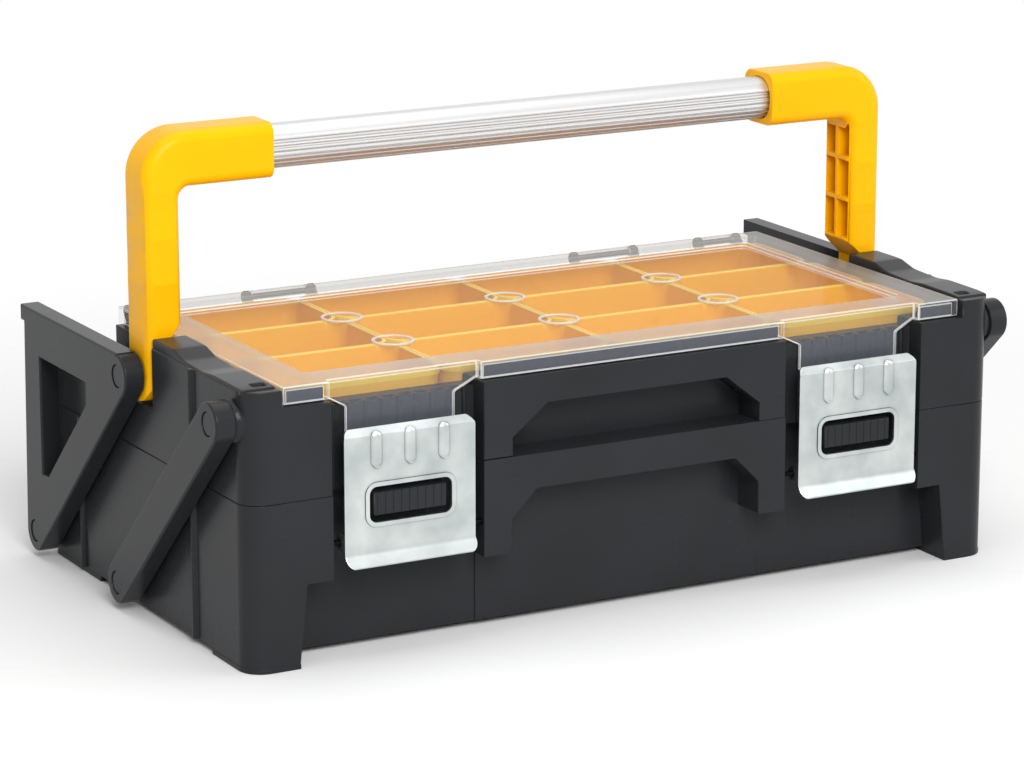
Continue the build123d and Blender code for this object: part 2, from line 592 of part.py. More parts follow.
def arm_pin_holes(upper, lower):
    """Running holes for an arm's two pins."""
    for pivot in (upper, lower):
        side_rod(1, pivot, PIVOT_RADIUS + RUNNING_FIT, (ARM_INSIDE, ARM_OUTSIDE), Mode.SUBTRACT)


# Front arms, straight black bars with a rounded outer edge
with BuildPart() as front_arm_right:
    extrude(bar_outline(FRONT_UPPER, FRONT_LOWER), amount=ARM_THICKNESS)
    fillet(front_arm_right.faces().sort_by(Axis.X)[-1].edges(), radius=ARM_EDGE)
    arm_pin_holes(FRONT_UPPER, FRONT_LOWER)
front_arm_right.part.label = "front_arm_right"

with BuildPart() as front_arm_left:
    mirror(front_arm_right.part, about=Plane.YZ)
front_arm_left.part.label = "front_arm_left"

# Rear arms, black right-angled triangles whose back edge turns down to the floor when the tray swings back
ARM_BACK_Y = REAR_Y + ARM_BACK_OVERHANG
WINDOW_BACK_Y = ARM_BACK_Y - WINDOW_BACK_MARGIN
WINDOW_FRONT_Y = REAR_UPPER[0] + ARM_WIDTH / 2 + WINDOW_FRONT_MARGIN
WINDOW_TOP_Z = ARM_TOP_Z - WINDOW_TOP_MARGIN


def window_low(y):
    """Height of the window's slanted edge, which runs along the bar's upper side."""
    bar_top = UPPER_PIVOT_Z + ARM_WIDTH / 2 * math.hypot(ARM_RISE, ARM_REACH) / ARM_REACH
    return bar_top - ARM_RISE / ARM_REACH * (y - REAR_UPPER[0])


with BuildPart() as rear_arm_right:
    with BuildSketch(Plane.YZ.offset(ARM_INSIDE)):
        with BuildLine():
            Polyline(
                REAR_UPPER, (REAR_UPPER[0], ARM_TOP_Z), (ARM_BACK_Y, ARM_TOP_Z),
                (ARM_BACK_Y, ARM_TOP_Z - ARM_LIP_HEIGHT),
                (ARM_BACK_Y - ARM_LIP_PROUD, ARM_TOP_Z - ARM_LIP_HEIGHT),
                (REAR_LOWER[0] + ARM_WIDTH / 2, REAR_LOWER[1]), REAR_LOWER, close=True,
            )
        make_face()
        with BuildLine():
            Polyline(
                (WINDOW_FRONT_Y, WINDOW_TOP_Z), (WINDOW_BACK_Y, WINDOW_TOP_Z),
                (WINDOW_BACK_Y, window_low(WINDOW_BACK_Y - WINDOW_CUT)),
                (WINDOW_BACK_Y - WINDOW_CUT, window_low(WINDOW_BACK_Y - WINDOW_CUT)),
                (WINDOW_FRONT_Y, window_low(WINDOW_FRONT_Y)), close=True,
            )
        make_face(mode=Mode.SUBTRACT)
    extrude(amount=ARM_THICKNESS)
    extrude(bar_outline(REAR_UPPER, REAR_LOWER), amount=ARM_THICKNESS)
    fillet(rear_arm_right.faces().sort_by(Axis.X)[-1].edges(), radius=ARM_EDGE)
    arm_pin_holes(REAR_UPPER, REAR_LOWER)
rear_arm_right.part.label = "rear_arm_right"

with BuildPart() as rear_arm_left:
    mirror(rear_arm_right.part, about=Plane.YZ)
rear_arm_left.part.label = "rear_arm_left"


def tube_section(grow):
    """Cross-section of the handle tube, grown or drawn in on all sides."""
    with BuildSketch(Plane.YZ) as section:
        with Locations((REAR_UPPER[0], TUBE_Z)):
            RectangleRounded(TUBE_DEPTH + 2 * grow, TUBE_HEIGHT + 2 * grow, TUBE_ROUND + grow)
    return section.sketch


# Handle tube, an aluminium extrusion with a smooth top and fluted front and back
TUBE_HALF = SLEEVE_END + TUBE_SEAT
with BuildPart() as handle_tube:
    extrude(tube_section(0), amount=TUBE_HALF, both=True)
    extrude(tube_section(-TUBE_WALL), amount=TUBE_HALF, both=True, mode=Mode.SUBTRACT)
    with BuildSketch(Plane.YZ):
        with Locations((REAR_UPPER[0], TUBE_Z)):
            with GridLocations(TUBE_DEPTH, FLUTE_PITCH, 2, FLUTES):
                Circle(FLUTE_RADIUS)
    extrude(amount=TUBE_HALF, both=True, mode=Mode.SUBTRACT)
handle_tube.part.label = "handle_tube"

# Handle brackets, yellow mouldings: a sleeve round the tube, a ribbed leg and a thin pivot foot
SLEEVE_TOP_Z = TUBE_TOP_Z + SLEEVE_WALL
SLEEVE_BOTTOM_Z = TUBE_TOP_Z - TUBE_HEIGHT - SLEEVE_WALL
PIVOT_FOOT_BOTTOM_Z = UPPER_PIVOT_Z - LEG_DEPTH / 2
LEG_SHOULDER_Z = UPPER_PIVOT_Z + LEG_SHOULDER_GAP
LEG_POCKET_Z = LEG_SHOULDER_Z + LEG_WIDTH - PIVOT_FOOT
with BuildPart() as handle_bracket_right:
    with BuildSketch(Plane.XZ.offset(-REAR_UPPER[0])) as bracket_side:
        with BuildLine():
            Polyline(
                (SLEEVE_END, SLEEVE_BOTTOM_Z), (SLEEVE_END, SLEEVE_TOP_Z), (LEG_OUTSIDE, SLEEVE_TOP_Z),
                (LEG_OUTSIDE, PIVOT_FOOT_BOTTOM_Z), (PIVOT_FOOT_INSIDE, PIVOT_FOOT_BOTTOM_Z),
                (PIVOT_FOOT_INSIDE, LEG_SHOULDER_Z), (LEG_INSIDE, LEG_POCKET_Z),
                (LEG_INSIDE, SLEEVE_BOTTOM_Z), close=True,
            )
        make_face()
        fillet(bracket_side.vertices().sort_by_distance((LEG_OUTSIDE, SLEEVE_TOP_Z))[0], radius=LEG_CORNER)
        fillet(bracket_side.vertices().sort_by_distance((LEG_INSIDE, SLEEVE_BOTTOM_Z))[0], radius=LEG_EDGE)
    extrude(amount=LEG_DEPTH / 2, both=True)
    flat_edges = handle_bracket_right.faces().filter_by(Axis.Y).edges()
    long_edges = flat_edges.filter_by(lambda edge: edge.center().Z > LEG_POCKET_Z)
    fillet(long_edges.filter_by(lambda edge: edge.center().X > SLEEVE_END + LEG_EDGE), radius=LEG_EDGE)
    # The foot is rounded about the pivot
    with BuildSketch(Plane.YZ):
        with Locations(REAR_UPPER):
            Circle(LEG_DEPTH / 2)
        with Locations((REAR_UPPER[0], (REAR_UPPER[1] + SLEEVE_TOP_Z) / 2)):
            Rectangle(LEG_DEPTH, SLEEVE_TOP_Z - REAR_UPPER[1])
    extrude(amount=LEG_OUTSIDE, mode=Mode.INTERSECT)
    extrude(tube_section(TUBE_FIT), amount=TUBE_HALF + TUBE_FIT, mode=Mode.SUBTRACT)
    # Two columns of pockets in the leg's inner side, with ribs between them
    pocket_pitch_y = (LEG_DEPTH - 2 * LEG_SKIN + LEG_CELL_RIB) / 2
    pocket_pitch_z = (SLEEVE_BOTTOM_Z - LEG_POCKET_Z) / LEG_CELL_ROWS
    with BuildSketch(Plane.YZ.offset(LEG_INSIDE)):
        with Locations((REAR_UPPER[0], (SLEEVE_BOTTOM_Z + LEG_POCKET_Z) / 2)):
            with GridLocations(pocket_pitch_y, pocket_pitch_z, 2, LEG_CELL_ROWS):
                Rectangle(pocket_pitch_y - LEG_CELL_RIB, pocket_pitch_z - LEG_CELL_RIB)
    extrude(amount=LEG_WIDTH - LEG_SKIN, mode=Mode.SUBTRACT)
    side_rod(1, REAR_UPPER, PIVOT_RADIUS + RUNNING_FIT, (PIVOT_FOOT_INSIDE, LEG_OUTSIDE), Mode.SUBTRACT)
handle_bracket_right.part.label = "handle_bracket_right"

with BuildPart() as handle_bracket_left:
    mirror(handle_bracket_right.part, about=Plane.YZ)
handle_bracket_left.part.label = "handle_bracket_left"

# Latches, bright plates with a hooked top, a window over the lug, pressed darts and a flared lip
with BuildPart() as latch_right:
    plate_y = LATCH_FACE_Y + LATCH_PLATE / 2
    latch_low_x = LATCH_CENTRE - LATCH_WIDTH / 2
    with BuildSketch(Plane.YZ.offset(latch_low_x)):
        with BuildLine():
            Polyline(
                (plate_y + HOOK_DEPTH, LATCH_TOP_Z), (plate_y, LATCH_TOP_Z - HOOK_HEIGHT),
                (plate_y, LATCH_BOTTOM_Z + LIP_HEIGHT), (plate_y - LIP_PROUD, LATCH_BOTTOM_Z),
            )
            offset(amount=LATCH_PLATE / 2, kind=Kind.ARC, mode=Mode.REPLACE)
        make_face()
    extrude(amount=LATCH_WIDTH)
    with BuildSketch(Plane.XZ.offset(-FRONT_Y)):
        with Locations((LATCH_CENTRE, (LATCH_BOTTOM_Z + LATCH_TOP_Z) / 2)):
            RectangleRounded(LATCH_WIDTH, LATCH_TOP_Z - LATCH_BOTTOM_Z + LATCH_PLATE, LATCH_CORNER)
        with Locations((LATCH_CENTRE, LATCH_WINDOW_Z)):
            RectangleRounded(
                LATCH_WINDOW_WIDTH, LATCH_WINDOW_HEIGHT, LATCH_WINDOW_CORNER, mode=Mode.SUBTRACT
            )
    extrude(amount=2 * (LATCH_PROUD + LIP_PROUD), both=True, mode=Mode.INTERSECT)
    with BuildSketch(Plane.XZ.offset(-LATCH_FACE_Y - LATCH_PLATE / 2)):
        with Locations((LATCH_CENTRE, LATCH_TOP_Z - HOOK_HEIGHT - DART_LENGTH / 2)):
            with GridLocations(DART_PITCH, 1, DARTS, 1):
                SlotOverall(DART_LENGTH, DART_WIDTH, rotation=90)
    extrude(amount=LATCH_PLATE / 2 + DART_PROUD, taper=30)
    for end in SIDES:
        ear_x = LATCH_CENTRE + end * (LATCH_WIDTH - LATCH_PLATE) / 2 - LATCH_PLATE / 2
        with BuildSketch(Plane.YZ.offset(ear_x)):
            with Locations(LATCH_PIN):
                Circle(LATCH_EAR_RADIUS)
            with Locations(((plate_y + LATCH_PIN[0]) / 2, LATCH_PIN_Z)):
                Rectangle(LATCH_PIN[0] - plate_y, 2 * LATCH_EAR_RADIUS)
        extrude(amount=LATCH_PLATE)
    ear_span = (latch_low_x, latch_low_x + LATCH_WIDTH)
    side_rod(1, LATCH_PIN, LATCH_PIN_RADIUS + RUNNING_FIT, ear_span, Mode.SUBTRACT)
latch_right.part.label = "latch_right"

with BuildPart() as latch_left:
    mirror(latch_right.part, about=Plane.YZ)
latch_left.part.label = "latch_left"

pieces = [
    base_tub, lower_pivot_pins, latch_pins, latch_left, latch_right,
    upper_tray, upper_front_pins, upper_rear_pins, *bins, lid, lid_hinge_pins,
    front_arm_left, front_arm_right, rear_arm_left, rear_arm_right,
    handle_bracket_left, handle_bracket_right, handle_tube,
]
os.makedirs("parts", exist_ok=True)
for piece in pieces:
    export_step(piece.part, f"parts/{piece.part.label}.step")
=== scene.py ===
import bmesh
import bpy
import math
import mathutils
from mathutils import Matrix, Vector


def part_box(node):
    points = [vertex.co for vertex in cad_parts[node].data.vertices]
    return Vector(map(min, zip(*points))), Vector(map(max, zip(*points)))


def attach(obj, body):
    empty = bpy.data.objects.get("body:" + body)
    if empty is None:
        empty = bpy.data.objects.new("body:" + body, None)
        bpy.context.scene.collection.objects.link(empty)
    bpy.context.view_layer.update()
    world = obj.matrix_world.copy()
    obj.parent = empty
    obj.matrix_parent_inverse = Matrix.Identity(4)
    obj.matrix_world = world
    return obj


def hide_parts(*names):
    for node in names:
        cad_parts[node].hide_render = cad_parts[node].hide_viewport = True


# Cantilever organiser toolbox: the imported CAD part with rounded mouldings, pressed metal and real finishes.
# X runs along the box, +Y to its rear and +Z up from its feet, in metres.
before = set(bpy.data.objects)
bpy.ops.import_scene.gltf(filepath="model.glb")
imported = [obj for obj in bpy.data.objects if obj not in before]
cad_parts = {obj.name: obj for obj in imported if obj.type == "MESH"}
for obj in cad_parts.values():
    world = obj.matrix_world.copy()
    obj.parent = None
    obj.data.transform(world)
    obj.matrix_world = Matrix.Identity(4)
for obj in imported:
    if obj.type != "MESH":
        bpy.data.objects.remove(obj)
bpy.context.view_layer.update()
bpy.ops.object.select_all(action="DESELECT")

# Base tub: one black polypropylene injection moulding with hollow corner columns, feet and an arched front.
# Its outer edges are rounded by the tool. The tray stands on it, and the arms' lower pegs sit in its sides.


def linear(hex_colour):
    """An sRGB hex colour as linear red, green, blue and alpha."""
    parts = [int(hex_colour[i:i + 2], 16) / 255 for i in (1, 3, 5)]
    return [p / 12.92 if p <= 0.04045 else ((p + 0.055) / 1.055) ** 2.4 for p in parts] + [1.0]


def wire(material, node, links):
    """Joins a shader node's inputs to other nodes' outputs."""
    for name, source in links.items():
        material.node_tree.links.new(source, node.inputs[name])


def add_node(material, kind, settings=None, links=None):
    """Adds one shader node with its settings, and joins its inputs to other nodes' outputs."""
    made = material.node_tree.nodes.new(kind)
    for name, value in (settings or {}).items():
        if hasattr(made, name):
            setattr(made, name, value)
        else:
            made.inputs[name].default_value = value
    wire(material, made, links or {})
    return made


def new_finish(name):
    """A new material, its shader, and the coordinates of the piece that its patterns follow."""
    material = bpy.data.materials.new(name)
    material.use_nodes = True
    shader = material.node_tree.nodes["Principled BSDF"]
    return material, shader, add_node(material, "ShaderNodeTexCoord").outputs["Object"]


def take_up(piece):
    """Makes a piece the only one that is selected and worked on."""
    bpy.ops.object.select_all(action="DESELECT")
    bpy.context.view_layer.objects.active = piece
    piece.select_set(True)


def merge_points(piece):
    """Makes one point of those that lie in the same place."""
    take_up(piece)
    bpy.ops.object.mode_set(mode="EDIT")
    bpy.ops.mesh.select_all(action="SELECT")
    bpy.ops.mesh.remove_doubles(threshold=1e-6)
    bpy.ops.object.mode_set(mode="OBJECT")


def skin_of(node_name, name, body):
    """A copy of a CAD piece, merged from loose triangles into one skin, which stands for that piece."""
    piece = bpy.data.objects.new(name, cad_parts[node_name].data.copy())
    bpy.context.scene.collection.objects.link(piece)
    take_up(piece)
    bpy.ops.mesh.customdata_custom_splitnormals_clear()
    merge_points(piece)
    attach(piece, body)
    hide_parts(node_name)
    return piece


def merge_flats(piece):
    """Joins the triangles of each flat stretch of a piece into one face."""
    take_up(piece)
    bpy.ops.object.mode_set(mode="EDIT")
    bpy.ops.mesh.select_all(action="SELECT")
    bpy.ops.mesh.dissolve_limited(angle_limit=math.radians(0.5))
    bpy.ops.object.mode_set(mode="OBJECT")


def shade(piece):
    """Cleans up after the rounding and shades a piece smooth, with its flat faces kept flat."""
    merge_points(piece)
    bpy.ops.object.shade_smooth_by_angle(angle=math.radians(40))
    flats = piece.modifiers.new("flat faces stay flat", "WEIGHTED_NORMAL")
    flats.keep_sharp = True
    bpy.ops.object.modifier_apply(modifier=flats.name)


def folded_places(mesh):
    """The corners of each triangle that leans away from its own face, as where two roundings meet."""
    smallest_area = 1e-10
    least_lean = 0.6
    mesh.calc_loop_triangles()
    places = []
    for triangle in mesh.loop_triangles:
        a, b, c = (mesh.vertices[index].co for index in triangle.vertices)
        across = (b - a).cross(c - a)
        lean = across.dot(mesh.polygons[triangle.polygon_index].normal)
        if across.length > smallest_area and lean < least_lean * across.length:
            places += [a.copy(), b.copy(), c.copy()]
    return places


def round_edges(piece, edge, segments=2, angle=35, edge_slot=-1, where=lambda at: True, clamp=False):
    """Rounds the sharp edges that pass a test, and leaves those sharp whose roundings would meet."""
    most_tries = 12
    merge_flats(piece)
    plain = piece.data.copy()
    tight = []
    for _ in range(most_tries):
        piece.data = plain.copy()
        crowded = mathutils.kdtree.KDTree(len(tight))
        for number, at in enumerate(tight):
            crowded.insert(at, number)
        crowded.balance()
        skin = bmesh.new()
        skin.from_mesh(piece.data)
        weight = skin.edges.layers.float.new("bevel_weight_edge")
        for line in skin.edges:
            ends = [point.co for point in line.verts]
            sharp = line.calc_face_angle(0) > math.radians(angle) and all(where(end) for end in ends)
            roomy = not tight or min(crowded.find(end)[2] for end in ends) > 2 * edge
            line[weight] = float(sharp and roomy)
        skin.to_mesh(piece.data)
        skin.free()
        rounding = piece.modifiers.new("edge rounding", "BEVEL")
        rounding.width = edge
        rounding.segments = segments
        rounding.limit_method = "WEIGHT"
        rounding.use_clamp_overlap = clamp
        rounding.loop_slide = False
        rounding.miter_outer = "MITER_ARC"
        rounding.material = edge_slot
        bpy.ops.object.modifier_apply(modifier=rounding.name)
        folds = folded_places(piece.data)
        if not folds:
            break
        tight += folds
    shade(piece)


def finish_in(piece, slot, *materials):
    """Gives a piece its materials. Its slot argument is not used."""
    piece.data.materials.clear()
    for material in materials:
        piece.data.materials.append(material)


# Black polypropylene, moulded: near black with a soft gloss. Its spark-eroded grain is about 0.4 mm, drawn
# at 1.2 mm so that it shows, and broad flow marks about 60 mm across vary its tone and its gloss.
black, shader, place = new_finish("moulded_black_polypropylene")
flow = add_node(black, "ShaderNodeTexNoise", {"Scale": 1 / 0.060, "Detail": 3.0}, {"Vector": place})
grain = add_node(black, "ShaderNodeTexNoise", {"Scale": 1 / 0.0012, "Detail": 2.0}, {"Vector": place})
tone = add_node(black, "ShaderNodeValToRGB", None, {"Fac": flow.outputs["Fac"]})
tone.color_ramp.elements[0].color = linear("#232426")
tone.color_ramp.elements[1].color = linear("#2c2e31")
gloss = add_node(
    black, "ShaderNodeMapRange", {"To Min": 0.22, "To Max": 0.32}, {"Value": flow.outputs["Fac"]}
)
relief = add_node(
    black, "ShaderNodeBump", {"Strength": 0.12, "Distance": 0.0002}, {"Height": grain.outputs["Fac"]}
)
wire(black, shader, {
    "Base Color": tone.outputs["Color"],
    "Roughness": gloss.outputs["Result"],
    "Normal": relief.outputs["Normal"],
})
shader.inputs["IOR"].default_value = 1.49
shader.inputs["Specular IOR Level"].default_value = 0.15

base = skin_of("base_tub", "base_moulding", "base")
round_edges(base, edge=0.0008)
finish_in(base, "black_plastic", black)

# Front wall panel: the raised middle of the base's recessed front wall, black polypropylene like the rest.
# It is moulded with the base, stands 0.8 mm proud of the wall, and its back is sunk into the wall.


def block(corner, opposite):
    """A box between two opposite corners, to be shaped, joined to a moulding or cut from it."""
    bpy.ops.object.select_all(action="DESELECT")
    middle = [(a + b) / 2 for a, b in zip(corner, opposite)]
    spans = [abs(b - a) for a, b in zip(corner, opposite)]
    bpy.ops.mesh.primitive_cube_add(size=1, location=middle, scale=spans)
    bpy.ops.object.transform_apply(location=True, rotation=True, scale=True)
    return bpy.context.object


wall_face = -0.1019
panel_proud = 0.0008
panel_sunk = 0.0007
panel_half_width = 0.0830
panel_bottom = 0.0031
panel_top = 0.0842
panel = block(
    (-panel_half_width, wall_face - panel_proud, panel_bottom),
    (panel_half_width, wall_face + panel_sunk, panel_top),
)
panel.name = "front_wall_panel"
round_edges(panel, edge=0.0005)
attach(panel, "base")
finish_in(panel, "black_plastic", black)

# Foot treads: low collars round the base's four feet, moulded with it in black polypropylene.
# Each is about 0.3 mm proud of its foot's sides, and its outer corner is as round as the base's.


def pick(test):
    """Selects the points of the piece in edit mode whose place passes a test."""
    mesh = bmesh.from_edit_mesh(bpy.context.object.data)
    for point in mesh.verts:
        point.select_set(test(point.co))
    mesh.select_flush(True)
    mesh.select_flush(False)
    bmesh.update_edit_mesh(bpy.context.object.data)


sides = ((-1, "left"), (1, "right"))
foot_ends = (("front", -0.1222, -0.0796), ("rear", 0.1274, 0.0589))
tread_inside = 0.1892
tread_outside = 0.2173
tread_height = 0.0027
tread_corner = 0.0123
# A point this near to a place counts as being there
near = 0.001
for side, side_name in sides:
    for end_name, outer_end, inner_end in foot_ends:
        tread = block((side * tread_inside, inner_end, 0), (side * tread_outside, outer_end, tread_height))
        tread.name = f"foot_tread_{end_name}_{side_name}"
        bpy.ops.object.mode_set(mode="EDIT")
        pick(lambda at: abs(at.x) > tread_outside - near and abs(at.y - outer_end) < near)
        bpy.ops.mesh.bevel(offset=tread_corner, segments=10, affect="EDGES")
        bpy.ops.object.mode_set(mode="OBJECT")
        round_edges(tread, edge=0.0005)
        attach(tread, "base")
        finish_in(tread, "black_plastic", black)

# Lug ribs: fine upright ribs on the two black lugs that stand in the latches' windows.
# They are moulded with the base in black polypropylene.


def box_of(node_name):
    """The lowest and highest corners of a CAD piece, to a hundredth of a millimetre."""
    return [[round(value, 5) for value in corner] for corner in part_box(node_name)]


def middle_of(node_name):
    """The middle of a CAD piece's box, to a hundredth of a millimetre."""
    low, high = box_of(node_name)
    return [round((a + b) / 2, 5) for a, b in zip(low, high)]


def rod(radius, length, at, turn=(0, 0, 0), faces=48):
    """A round bar, upright unless it is turned, to be joined to a moulding or cut from it."""
    bpy.ops.object.select_all(action="DESELECT")
    bpy.ops.mesh.primitive_cylinder_add(
        vertices=faces, radius=radius, depth=length, location=at, rotation=turn
    )
    bpy.ops.object.transform_apply(location=True, rotation=True, scale=True)
    return bpy.context.object


def repeat(piece, count, step):
    """Makes a row of a piece, with one step from each copy to the next."""
    take_up(piece)
    row = piece.modifiers.new("row", "ARRAY")
    row.count = count
    row.use_relative_offset = False
    row.use_constant_offset = True
    row.constant_offset_displace = step
    bpy.ops.object.modifier_apply(modifier=row.name)


latch_middle = middle_of("latch_right")[0]
window_bottom = 0.0692
window_top = 0.0874
rib_count = 9
rib_pitch = 0.0044
rib_radius = 0.0006
rib_length = 0.0108
rib_axis = -0.1245
for side, side_name in sides:
    first_rib = side * latch_middle - (rib_count - 1) / 2 * rib_pitch
    ribs = rod(rib_radius, rib_length, (first_rib, rib_axis, (window_bottom + window_top) / 2), faces=16)
    ribs.name = f"lug_ribs_{side_name}"
    repeat(ribs, rib_count, (rib_pitch, 0, 0))
    round_edges(ribs, edge=0.0002)
    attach(ribs, "base")
    finish_in(ribs, "black_plastic", black)

# Upper tray: one black polypropylene moulding with the bin well, side rails, latch bays and rear shelf.
# It hangs on the swing arms by its front bosses and by the bosses on its side walls.


def work(piece, tool, operation):
    """Joins a tool to a piece, or cuts it out, and clears the tool away."""
    take_up(piece)
    joint = piece.modifiers.new("moulded detail", "BOOLEAN")
    joint.operation = operation
    joint.solver = "EXACT"
    joint.object = tool
    bpy.ops.object.modifier_apply(modifier=joint.name)
    bpy.data.objects.remove(tool)


# Shallow scallops in the top edge of each bay's rear wall, one between each pair of its ribs
bay_middle = 0.1295
bay_wall_middle = -0.1097
bay_wall_top = 0.1275
scallop_count = 8
scallop_pitch = 0.0090
scallop_radius = 0.0070
scallop_depth = 0.0011
scallop_length = 0.0050
along_y = (math.radians(90), 0, 0)
tray = skin_of("upper_tray", "tray_moulding", "tray")
for side, side_name in sides:
    for number in range(scallop_count):
        across = bay_middle + (number - (scallop_count - 1) / 2) * scallop_pitch
        height = bay_wall_top + scallop_radius - scallop_depth
        work(
            tray, rod(scallop_radius, scallop_length, (side * across, bay_wall_middle, height), along_y),
            "DIFFERENCE",
        )
round_edges(tray, edge=0.0008)
finish_in(tray, "black_plastic", black)

# Rail caps: the tops of the tray's two side rails, moulded with it in black polypropylene.
# Each has a post in front of the handle's foot, a dip, and a flat pad with a pocket at the front.
cap_inside = 0.1979
cap_outside = 0.2164
cap_bottom = 0.1380
post_rear = -0.0124
post_front = -0.0300
post_top = 0.1450
pocket_inside = 0.2010
pocket_outside = 0.2080
pocket_rear = -0.1070
pocket_front = -0.1125
pocket_floor = 0.1402
pocket_mouth = 0.1460
# How far forward each station of the cap lies, and how high its top is there
cap_stations = (
    (-0.0350, 0.1449), (-0.0380, 0.1447), (-0.0480, 0.1421), (-0.0520, 0.1417), (-0.0680, 0.1411),
    (-0.0720, 0.1411), (-0.0800, 0.1418), (-0.0840, 0.1420), (-0.1080, 0.1418), (-0.1160, 0.1413),
)
for side, side_name in sides:
    cap = block((side * cap_inside, post_front, cap_bottom), (side * cap_outside, post_rear, post_top))
    cap.name = f"rail_cap_{side_name}"
    bpy.ops.object.mode_set(mode="EDIT")
    for station, height in cap_stations:
        front = min(point.co.y for point in bmesh.from_edit_mesh(cap.data).verts)
        pick(lambda at: at.y < front + near)
        bpy.ops.mesh.extrude_region_move(TRANSFORM_OT_translate={"value": (0, station - front, 0)})
        crest = max(point.co.z for point in bmesh.from_edit_mesh(cap.data).verts if point.select)
        pick(lambda at: at.y < station + near and at.z > cap_bottom + near)
        bpy.ops.transform.translate(value=(0, 0, height - crest))
    bpy.ops.object.mode_set(mode="OBJECT")
    pocket = block(
        (side * pocket_inside, pocket_front, pocket_floor),
        (side * pocket_outside, pocket_rear, pocket_mouth),
    )
    work(cap, pocket, "DIFFERENCE")
    round_edges(cap, edge=0.0009, segments=3, angle=30)
    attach(cap, "tray")
    finish_in(cap, "black_plastic", black)

# Swing arms: thick black polypropylene bars and windowed triangles, one pair on each side of the box.
# They turn on plain pegs of the same plastic, whose flat heads show as rings in the arm ends.
for side, side_name in sides:
    front_arm = skin_of(f"front_arm_{side_name}", f"front_swing_arm_{side_name}", "front_arms")
    round_edges(front_arm, edge=0.0006)
    finish_in(front_arm, "black_plastic", black)
    rear_arm = skin_of(f"rear_arm_{side_name}", f"rear_swing_arm_{side_name}", "rear_arms")
    round_edges(rear_arm, edge=0.0006, clamp=True)
    finish_in(rear_arm, "black_plastic", black)
for place_name, body in (("lower_pivot", "base"), ("upper_front", "tray"), ("upper_rear", "tray")):
    pegs = skin_of(f"{place_name}_pins", f"{place_name}_pegs", body)
    round_edges(pegs, edge=0.0008)
    finish_in(pegs, "black_plastic", black)

# Bins: twelve cups, injection moulded in yellow polypropylene with drafted walls and an upright rim.
# They stand loose in the tray's well, rim to rim.

# Yellow polypropylene, moulded: a warm even yellow, satin, with faint clouds about 45 mm across.
yolk, shader, place = new_finish("moulded_yellow_bin_polypropylene")
cloud = add_node(yolk, "ShaderNodeTexNoise", {"Scale": 1 / 0.045, "Detail": 3.0}, {"Vector": place})
tone = add_node(yolk, "ShaderNodeValToRGB", None, {"Fac": cloud.outputs["Fac"]})
tone.color_ramp.elements[0].color = linear("#f6b714")
tone.color_ramp.elements[1].color = linear("#fcc41c")
gloss = add_node(
    yolk, "ShaderNodeMapRange", {"To Min": 0.24, "To Max": 0.34}, {"Value": cloud.outputs["Fac"]}
)
wire(yolk, shader, {"Base Color": tone.outputs["Color"], "Roughness": gloss.outputs["Result"]})
shader.inputs["Specular IOR Level"].default_value = 0.4
# The same plastic in the thin upright rims, painted a lighter yellow as a painted glow for the light that
# comes through them, so they are brighter than the cups
rim_yolk_painted_glow = yolk.copy()
rim_yolk_painted_glow.name = "yellow_bin_rim_painted_glow"
rim_painted_glow_tone = rim_yolk_painted_glow.node_tree.nodes["Color Ramp"].color_ramp
rim_painted_glow_tone.elements[0].color = linear("#ffd230")
rim_painted_glow_tone.elements[1].color = linear("#ffdc48")

rim_top = box_of("bin_front_1")[1][2]
rim_height = 0.0033
# Room for rounding errors where a height or a depth is tested
hair = 0.0001
for row_name in ("front", "middle", "rear"):
    for column in (1, 2, 3, 4):
        cup = skin_of(f"bin_{row_name}_{column}", f"bin_cup_{row_name}_{column}", "tray")
        round_edges(cup, edge=0.0005, where=lambda at: at.z > rim_top - hair)
        finish_in(cup, "bin_plastic", yolk, rim_yolk_painted_glow)
        # The rims take the lighter yellow of the painted glow, and the cups take the plain yellow
        for face in cup.data.polygons:
            face.material_index = 1 if face.center.z > rim_top - rim_height else 0

# Lid: one clear polypropylene moulding with a raised border, a sunk window, skirts and two latch tongues.
# Knuckles on its rear edge turn on steel wires.

# Clear polypropylene, moulded: the bins show through it, under a faint cool veil and sharp reflections that
# wander a little, as the sheet's gloss does over about 30 mm.
clear, shader, place = new_finish("moulded_clear_polypropylene")
haze = add_node(clear, "ShaderNodeTexNoise", {"Scale": 1 / 0.030, "Detail": 3.0}, {"Vector": place})
gloss = add_node(
    clear, "ShaderNodeMapRange", {"To Min": 0.06, "To Max": 0.14}, {"Value": haze.outputs["Fac"]}
)
wire(clear, shader, {"Roughness": gloss.outputs["Result"]})
shader.inputs["Base Color"].default_value = linear("#b6bcc8")
shader.inputs["IOR"].default_value = 1.49
shader.inputs["Alpha"].default_value = 0.085
# The same plastic, finely etched on the border's top, which makes it milkier and duller than the window
etched, shader, place = new_finish("etched_clear_polypropylene")
haze = add_node(etched, "ShaderNodeTexNoise", {"Scale": 1 / 0.030, "Detail": 3.0}, {"Vector": place})
gloss = add_node(
    etched, "ShaderNodeMapRange", {"To Min": 0.25, "To Max": 0.38}, {"Value": haze.outputs["Fac"]}
)
wire(etched, shader, {"Roughness": gloss.outputs["Result"]})
shader.inputs["Base Color"].default_value = linear("#b4b2ad")
shader.inputs["IOR"].default_value = 1.49
shader.inputs["Alpha"].default_value = 0.50
# The same plastic at its rounded edges, with a painted glow: a milky white painted on for the light that runs
# inside the sheet and comes out there
painted_glow_white, shader, place = new_finish("polypropylene_painted_glow")
haze = add_node(painted_glow_white, "ShaderNodeTexNoise", {"Scale": 1 / 0.012, "Detail": 3.0}, {"Vector": place})
gloss = add_node(
    painted_glow_white, "ShaderNodeMapRange", {"To Min": 0.20, "To Max": 0.34}, {"Value": haze.outputs["Fac"]}
)
wire(painted_glow_white, shader, {"Roughness": gloss.outputs["Result"]})
shader.inputs["Base Color"].default_value = linear("#fbfbfa")
shader.inputs["IOR"].default_value = 1.49
shader.inputs["Alpha"].default_value = 0.52

